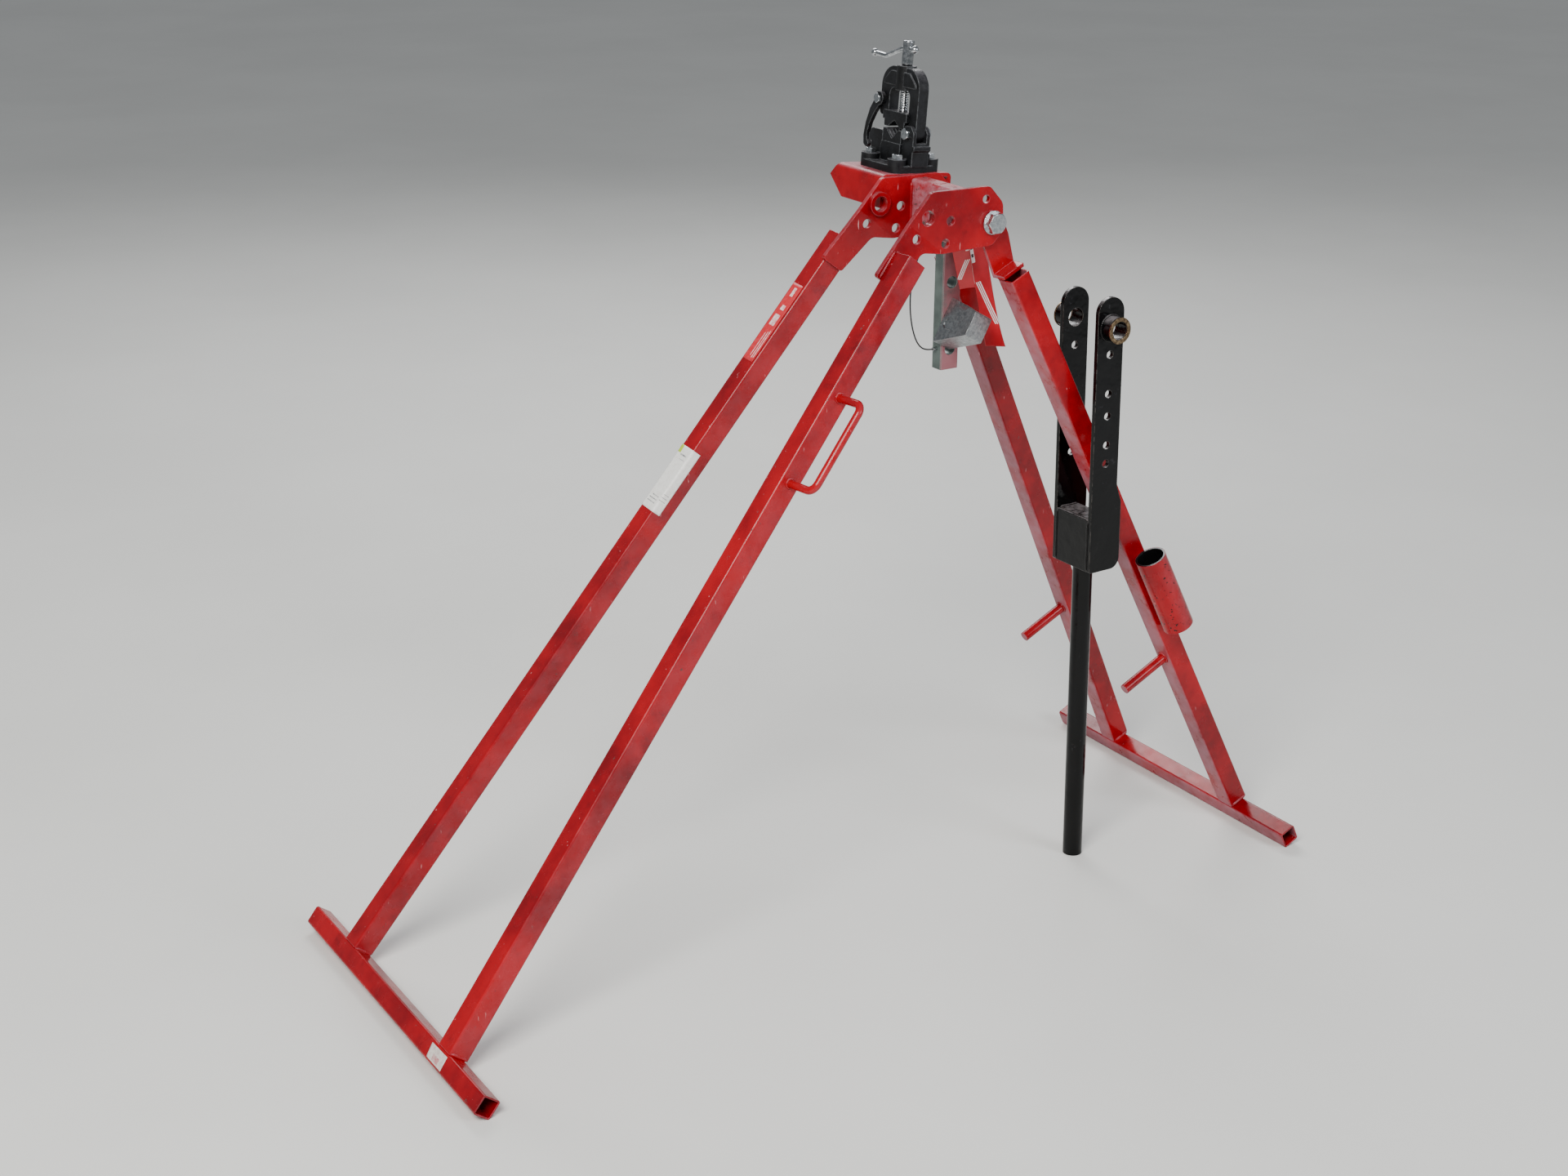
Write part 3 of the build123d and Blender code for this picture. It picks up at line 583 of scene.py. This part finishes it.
wire_black = coated_wire("black_coated_wire_rope", "0C0C0E")
WIRE_Y = 33.0
bow = [(800.5, 862), (789, 862), (773, 848), (765, 824), (762, 798)]
bow += [(763, 772), (769, 746), (778, 729), (790, 722), (800.5, 722)]
route = place([(x, WIRE_Y, z) for x, z in bow])
curve = bpy.data.curves.new("lanyard", "CURVE")
curve.dimensions = "3D"
curve.bevel_depth = 0.001
curve.bevel_resolution = 4
curve.resolution_u = 16
curve.use_fill_caps = True
line = curve.splines.new("NURBS")
line.points.add(len(route) - 1)
line.points.foreach_set("co", np.hstack([route, np.ones((len(route), 1))]).ravel())
line.order_u = 3
line.use_endpoint_u = True
curve.materials.append(wire_black)
lanyard = bpy.data.objects.new("lanyard", curve)
bpy.context.scene.collection.objects.link(lanyard)
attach(lanyard, "backstop")
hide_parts("lanyard_wire")
dress(wire_black, "tag_tie")


# Swing tag: a folded two-leaf card of printed plastic film, red with plain white bars, hung in its tie. The
# long leaf has curled at its foot.
def tag_print(name):
    material, tree, shader, coords = finish_base(name)
    along = node(tree, "ShaderNodeUVMap", uv_map="UVMap").outputs[0]
    split = node(tree, "ShaderNodeSeparateXYZ", {0: along})
    red = over(tree, patches(tree, coords, 30.0, 0.3, 0.7), linear("B0101E"), linear("C81E2C"))

    def band(value, low, high):
        up = node(tree, "ShaderNodeMath", {0: value, 1: low}, operation="GREATER_THAN").outputs[0]
        down = node(tree, "ShaderNodeMath", {0: value, 1: high}, operation="LESS_THAN").outputs[0]
        return times(tree, up, down)

    sloped = times(tree, split.outputs["Y"], -1.8)
    slant = node(tree, "ShaderNodeMath", {0: split.outputs["X"], 1: sloped}, operation="ADD").outputs[0]
    for low, high in ((-0.45, -0.38), (-0.56, -0.50), (-0.67, -0.61)):
        stripe = times(tree, band(slant, low, high), band(split.outputs["Y"], 0.40, 0.80))
        red = over(tree, stripe, red, linear("F4EDEC"))
    block = times(tree, band(split.outputs["X"], 0.02, 0.22), band(split.outputs["Y"], 0.04, 0.22))
    red = over(tree, block, red, linear("F2EBEA"))
    for low, high in ((0.07, 0.10), (0.14, 0.17)):
        mark = times(tree, band(split.outputs["X"], 0.05, 0.18), band(split.outputs["Y"], low, high))
        red = over(tree, mark, red, linear("3A2A2C"))
    tree.links.new(red, shader.inputs["Base Color"])
    shader.inputs["Roughness"].default_value = 0.28
    shader.inputs["IOR"].default_value = 1.48
    true_normal = node(tree, "ShaderNodeNewGeometry").outputs["Normal"]
    tree.links.new(relief(tree, coords, true_normal, [(18.0, 0.5, 0.5)]), shader.inputs["Normal"])
    return material


def tag_leaf(width_top, width_foot, length, turn, curl):
    """Point (u, v): down the fold by 34 + length v, out by width u along a direction turned about the fold.
    The leaf bends out of plane by curl v^5 (0.35 + u) + 0.5 sin(3.2 v + 2 u)."""
    u, v = np.meshgrid(np.linspace(0, 1, 24), np.linspace(0, 1, 90))
    lean = math.radians(13.3)
    down = np.array([math.sin(lean), 0.0, -math.cos(lean)])
    across = np.array([math.cos(lean), 0.0, math.sin(lean)])
    back = np.array([0.0, 1.0, 0.0])
    t = math.radians(turn)
    out = across * math.cos(t) + back * abs(math.sin(t))
    if turn < 0:
        out = -across * math.cos(t) + back * abs(math.sin(t))
    normal = np.cross(out, down)
    width = width_top + (width_foot - width_top) * v
    foot = 34.0 + length * v + 14.0 * u * v * (curl > 0)
    bend = curl * v**5 * (0.35 + u) + 0.5 * np.sin(3.2 * v + 2.0 * u)
    origin = np.array([818.0, 0.3, 902.0])
    points = origin + down * foot[..., None] + out * (width * u)[..., None]
    points = points - normal * bend[..., None] * np.sign(normal @ back)
    return points, np.stack([u, v], axis=-1)


tag_film = tag_print("printed_red_plastic_film")
leaves = [tag_leaf(30.0, 32.0, 147.0, 12.0, 5.0), tag_leaf(22.0, 20.0, 65.0, -38.0, 0.0)]
tag_points = np.concatenate([points.reshape(-1, 3) for points, _ in leaves])
tag_uv = np.concatenate([uv.reshape(-1, 2) for _, uv in leaves])
tag_mesh = bpy.data.meshes.new("printed_swing_tag")
tag_mesh.from_pydata(place(tag_points).tolist(), [], grid_faces(90, 24) + grid_faces(90, 24, start=90 * 24))
uv_layer = tag_mesh.uv_layers.new(name="UVMap")
corner = np.zeros(len(tag_mesh.loops), np.int32)
tag_mesh.loops.foreach_get("vertex_index", corner)
uv_layer.data.foreach_set("uv", tag_uv[corner].astype(np.float32).ravel())
tag_mesh.polygons.foreach_set("use_smooth", [True] * len(tag_mesh.polygons))
tag_mesh.materials.append(tag_film)
tag = bpy.data.objects.new("printed_swing_tag", tag_mesh)
bpy.context.scene.collection.objects.link(tag)
outward(tag)
film = tag.modifiers.new("film", "SOLIDIFY")
film.thickness = 0.0004
film.offset = 0.0
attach(tag, "backstop")
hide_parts("swing_tag")


# Paper labels: a white lot label folded round the far front leg's corner, a small red and white sticker above
# it, and a torn sticker on the foot bar. The two on the leg have lifted a little at their ends.
def marks(tree, split, spans):
    """Union of 0-1 rectangles on the film's own map: (low u, high u, low v, high v)."""
    total = None
    for u0, u1, v0, v1 in spans:
        inside = None
        lows = [("X", u0, "GREATER_THAN"), ("Y", v0, "GREATER_THAN")]
        highs = [("X", u1, "LESS_THAN"), ("Y", v1, "LESS_THAN")]
        for axis, edge, sense in lows + highs:
            side = node(tree, "ShaderNodeMath", {0: split.outputs[axis], 1: edge}, operation=sense).outputs[0]
            inside = side if inside is None else times(tree, inside, side)
        if total is not None:
            inside = node(tree, "ShaderNodeMath", {0: total, 1: inside}, operation="MAXIMUM").outputs[0]
        total = inside
    return total


def label_film(name, light, dark, printed, ink, corner=None, corner_ink=None):
    material, tree, shader, coords = finish_base(name)
    wear = patches(tree, coords, 5.0, 0.42, 0.66, 8.0, 0.7)
    colour = over(tree, times(tree, wear, 0.6), linear(light), linear(dark))
    along = node(tree, "ShaderNodeUVMap", uv_map="UVMap").outputs[0]
    split = node(tree, "ShaderNodeSeparateXYZ", {0: along})
    patchy = between(tree, patches(tree, coords, 4.0, 0.40, 0.62, 7.0, 0.7, seed=13.0), 0.35, 1.0)
    colour = over(tree, times(tree, marks(tree, split, printed), patchy), colour, linear(ink))
    if corner:
        colour = over(tree, marks(tree, split, [corner]), colour, linear(corner_ink))
    tree.links.new(colour, shader.inputs["Base Color"])
    shader.inputs["Roughness"].default_value = 0.45
    true_normal = node(tree, "ShaderNodeNewGeometry").outputs["Normal"]
    tree.links.new(relief(tree, coords, true_normal, [(6.0, 0.15, 0.5)]), shader.inputs["Normal"])
    return material


def film_sheet(name, points, material):
    """Thin sheet on the front frame through a grid of stand millimetres, rows along v and columns along u."""
    rows, columns = points.shape[:2]
    u, v = np.meshgrid(np.linspace(0, 1, columns), np.linspace(0, 1, rows))
    mesh = bpy.data.meshes.new(name)
    mesh.from_pydata(place(points).tolist(), [], grid_faces(rows, columns))
    uv = mesh.uv_layers.new(name="UVMap")
    index = np.zeros(len(mesh.loops), np.int32)
    mesh.loops.foreach_get("vertex_index", index)
    where = np.stack([u, v], axis=-1).reshape(-1, 2)[index]
    uv.data.foreach_set("uv", where.astype(np.float32).ravel())
    mesh.polygons.foreach_set("use_smooth", [True] * len(mesh.polygons))
    mesh.materials.append(material)
    piece = bpy.data.objects.new(name, mesh)
    bpy.context.scene.collection.objects.link(piece)
    wall = piece.modifiers.new("film", "SOLIDIFY")
    wall.thickness = 0.0002
    wall.offset = 0.0
    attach(piece, "front_frame")
    return piece


def leg_film(side, s0, s1, section, lift):
    """Film on a leg: a section of (a, b) points round the tube, swept from s0 to s1, lifted at both ends."""
    section = np.asarray(section, float)
    reach = np.concatenate([[0.0], np.cumsum(np.linalg.norm(np.diff(section, axis=0), axis=1))])
    ask = np.linspace(0.0, reach[-1], 30)
    a, b = (np.interp(ask, reach, section[:, k]) for k in (0, 1))
    v = np.linspace(0.0, 1.0, 28)
    rows = []
    for t in v:
        rise = 1.0 + (0.02 + lift * (2 * t - 1) ** 8 / 15.0)
        rows.append([front_legs.at(side, s0 + (s1 - s0) * t, p * rise, q * rise) for p, q in zip(a, b)])
    return np.array(rows)


FACE, FOLD = -15.0, 2.8  # the tube's face from its axis, and the label's fold round its corner
quarter = np.linspace(0.15, math.pi / 2 - 0.15, 5)
fold = [(FACE + FOLD - FOLD * math.sin(t), FACE + FOLD - FOLD * math.cos(t)) for t in quarter]
lot_section = [(-2.5, FACE)] + fold + [(FACE, 13.2)]
ruled = [(0.10, 0.34, 0.18, 0.19), (0.10, 0.34, 0.23, 0.24), (0.10, 0.30, 0.28, 0.29)]
ruled += [(0.44, 0.9, 0.10, 0.115), (0.44, 0.9, 0.15, 0.165), (0.44, 0.8, 0.20, 0.215)]
ruled += [(0.40, 0.80, 0.86, 0.88), (0.40, 0.70, 0.80, 0.81)]
green_corner = (0.84, 1.0, 0.88, 1.0)
lot_film = label_film("white_paper_label", "F1F1EE", "DDDAD3", ruled, "63666B", green_corner, "B4CC2E")
film_sheet("blank_lot_label", leg_film(1, 690.0, 782.0, lot_section, 0.35), lot_film)
bars = [(0.25, 0.75, 0.46, 0.60), (0.30, 0.66, 0.66, 0.72), (0.35, 0.62, 0.84, 0.95)]
bars += [(0.12, 0.2, 0.05, 0.4), (0.30, 0.36, 0.04, 0.38), (0.5, 0.56, 0.06, 0.36)]
vinyl = label_film("red_white_vinyl_sticker", "C41A26", "D8474F", bars, "F2E4E2")
film_sheet("plain_leg_sticker", leg_film(1, 915.0, 1029.0, [(FACE, -10.5), (FACE, 11.5)], 0.05), vinyl)
paper = label_film("torn_paper_sticker", "DAD3CC", "A4807C", [(0.1, 0.5, 0.3, 0.7)], "B9606A")
torn = ((-9.0, -160.0), (9.0, -158.0), (8.0, -118.0), (-9.0, -122.0))
bar_face = front_legs.out * 12.7
bar_corner = [front_legs.bar + front_legs.up * u + np.array([0.0, y, 0.0]) - bar_face for u, y in torn]
u_grid, v_grid = np.meshgrid(np.linspace(0, 1, 16), np.linspace(0, 1, 16))
u_grid, v_grid = u_grid[..., None], v_grid[..., None]
low_run = bar_corner[0] * (1 - u_grid) + bar_corner[1] * u_grid
high_run = bar_corner[3] * (1 - u_grid) + bar_corner[2] * u_grid
film_sheet("torn_bar_sticker", low_run * (1 - v_grid) + high_run * v_grid, paper)


# Ground: a plain pale studio floor, with soft light from the left, the front and above.
floor_finish, floor_tree, floor_shader, floor_coords = finish_base("pale_studio_floor")
floor_shader.inputs["Roughness"].default_value = 0.85
floor_tone = patches(floor_tree, floor_coords, 900.0, 0.3, 0.7)
floor_colour = over(floor_tree, floor_tone, linear("D9D9D6"), linear("DFDFDC"))
floor_tree.links.new(floor_colour, floor_shader.inputs["Base Color"])
floor_mesh = bpy.data.meshes.new("studio_floor")
floor_mesh.from_pydata([(-30, -30, 0), (30, -30, 0), (30, 30, 0), (-30, 30, 0)], [], [(0, 1, 2, 3)])
floor_mesh.materials.append(floor_finish)
floor = bpy.data.objects.new("studio_floor", floor_mesh)
bpy.context.scene.collection.objects.link(floor)

world = bpy.data.worlds.new("studio")
world.use_nodes = True
world.node_tree.nodes["Background"].inputs[0].default_value = linear("E6EAEE")
world.node_tree.nodes["Background"].inputs[1].default_value = 0.38
bpy.context.scene.world = world


def soft_light(name, position, target, size, watts, colour):
    light = bpy.data.lights.new(name, "AREA")
    light.shape = "RECTANGLE"
    light.size, light.size_y = size
    light.energy = watts
    light.color = linear(colour)[:3]
    lamp = bpy.data.objects.new(name, light)
    bpy.context.scene.collection.objects.link(lamp)
    lamp.location = position
    lamp.rotation_euler = (Vector(target) - Vector(position)).to_track_quat("-Z", "Y").to_euler()


soft_light("key", (-2.4, -1.9, 3.2), (0.0, 0.0, 0.5), (2.0, 1.5), 210.0, "FFFDF8")
soft_light("front", (1.6, -3.4, 2.2), (0.1, 0.0, 0.5), (1.8, 1.2), 70.0, "F4F8FF")
soft_light("back", (1.4, 2.8, 3.0), (0.0, 0.0, 0.6), (2.4, 1.4), 90.0, "FFFFFF")

camera_data = bpy.data.cameras.new("camera")
camera_data.lens = 51.144
camera_data.sensor_width = 36.0
camera = bpy.data.objects.new("camera", camera_data)
bpy.context.scene.collection.objects.link(camera)
camera.location = (-1.49261, -2.2309, 1.47634)
camera.rotation_euler = (1.201012, -0.007004, -0.565483)
bpy.context.scene.camera = camera
